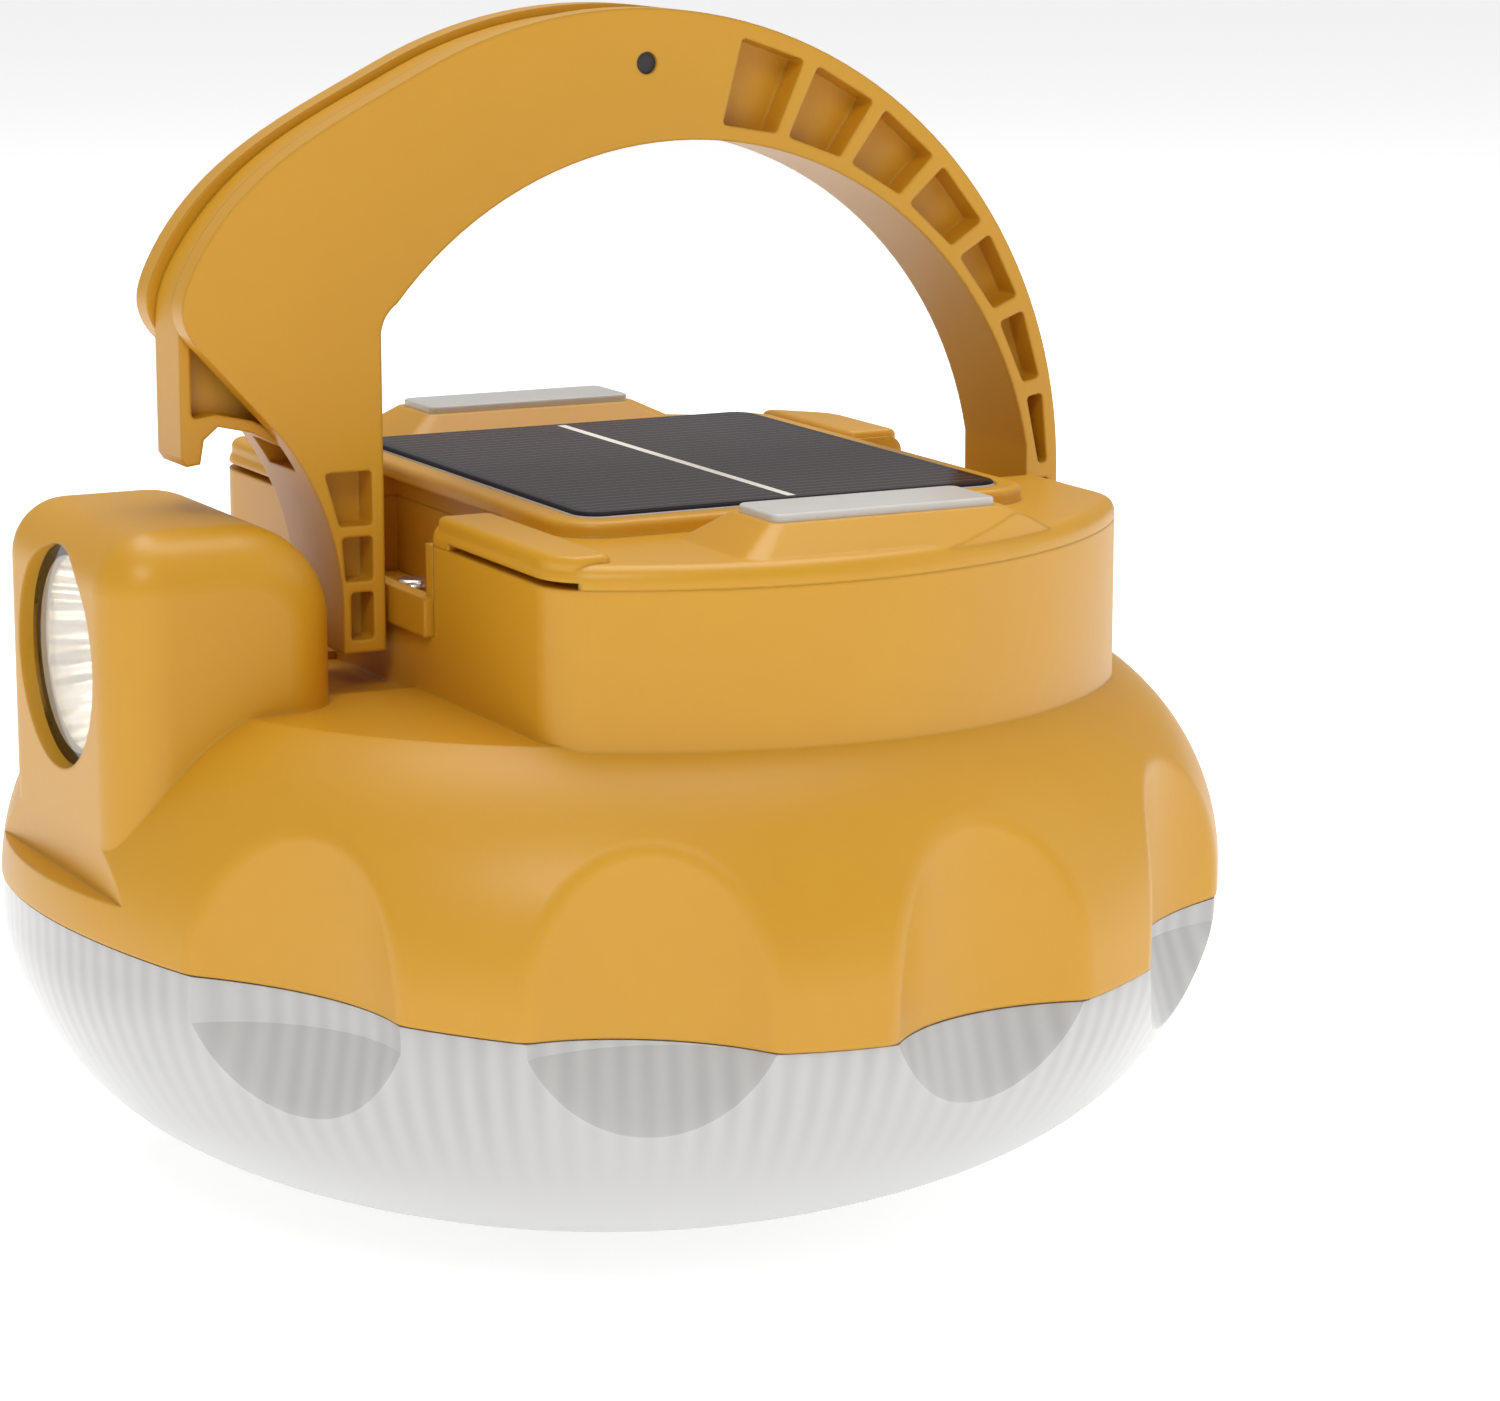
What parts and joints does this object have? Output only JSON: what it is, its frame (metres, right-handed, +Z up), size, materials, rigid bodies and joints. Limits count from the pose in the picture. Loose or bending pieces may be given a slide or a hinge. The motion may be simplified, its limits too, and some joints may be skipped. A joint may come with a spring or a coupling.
{
  "type": "solar lantern",
  "caption": "Round solar lantern with a scalloped skirt, white lower diffuser, side torch, solar panel lid and an arched carry handle with a swing hook.",
  "frame": {"origin": "centre of the diffuser's flat foot, on the surface the lantern stands on", "axes": "+Z up; the torch points to -X; the handle stands in the XZ plane; the charging port and button are on +Y"},
  "size_m": [0.145, 0.145, 0.1401],
  "materials": {
    "yellow_shell": "satin moulded, golden yellow",
    "white_diffuser": "translucent milk white",
    "panel_epoxy": "glossy cast epoxy",
    "silicon_cell": "dark blue-brown silicon with fine grid lines",
    "tinned_ribbon": "tinned ribbon",
    "clear_plastic": "clear moulded",
    "circuit_board": "white solder mask",
    "lamp_chip": "phosphor",
    "seal_rubber": "silicone",
    "white_plastic": "moulded",
    "cell_wrap": "shrink wrap",
    "switch_black": "moulded",
    "bright_steel": "nickel plated",
    "hook_pin_yellow": "plated steel",
    "button_rubber": "soft matt",
    "reflector_coat": "vacuum metallised",
    "heat_sink_metal": "milled"
  },
  "bodies": {
    "lantern": {"skirt_housing": "yellow_shell", "solar_lid": "yellow_shell", "lid_seal": "seal_rubber", "lid_screws": "bright_steel", "solar_panel": "panel_epoxy", "solar_cells": "silicon_cell", "solar_busbar": "tinned_ribbon", "side_window_front": "clear_plastic", "side_window_back": "clear_plastic", "side_led_board_front": "circuit_board", "side_led_board_back": "circuit_board", "side_leds": "lamp_chip", "diffuser": "white_diffuser", "diffuser_seal": "seal_rubber", "led_tray": "white_plastic", "tray_screws": "bright_steel", "led_board": "circuit_board", "board_screws": "bright_steel", "main_leds": "lamp_chip", "battery_holder": "white_plastic", "battery_cells": "cell_wrap", "control_board": "circuit_board", "button_switch": "switch_black", "usb_c_port": "bright_steel", "usb_c_tongue": "switch_black", "torch_reflector": "reflector_coat", "torch_led": "lamp_chip", "torch_heat_sink": "heat_sink_metal", "torch_seal": "seal_rubber", "torch_lens": "clear_plastic", "torch_bracket": "yellow_shell", "far_bracket": "yellow_shell", "bracket_screws": "bright_steel", "torch_side_pivot_pin": "bright_steel", "far_side_pivot_pin": "bright_steel", "pivot_washers": "bright_steel"},
    "carry_handle": {"handle": "yellow_shell", "hook_pin": "hook_pin_yellow"},
    "swing_hook": {"hook": "yellow_shell"},
    "button": {"power_button": "button_rubber"},
    "port_flap": {"port_cover": "button_rubber"}
  },
  "joints": [
    {"name": "handle_tilt", "type": "hinge", "parent": "lantern", "child": "carry_handle", "pos_m": [0, 0, 0.0733], "axis": [1, 0, 0], "range_deg": [-30, 30]},
    {"name": "hook_swing", "type": "hinge", "parent": "carry_handle", "child": "swing_hook", "pos_m": [0.0015, 0, 0.1338], "axis": [0, 1, 0], "range_deg": [0, 80]},
    {"name": "button_press", "type": "slide", "parent": "lantern", "child": "button", "axis": [0, -1, 0], "range_m": [0, 0.001], "stiffness_N_per_m": 800},
    {"name": "port_flap_swing", "type": "hinge", "parent": "lantern", "child": "port_flap", "pos_m": [0.0125, 0.0587, 0.0682], "axis": [-1, 0, 0], "range_deg": [0, 85]}
  ]
}
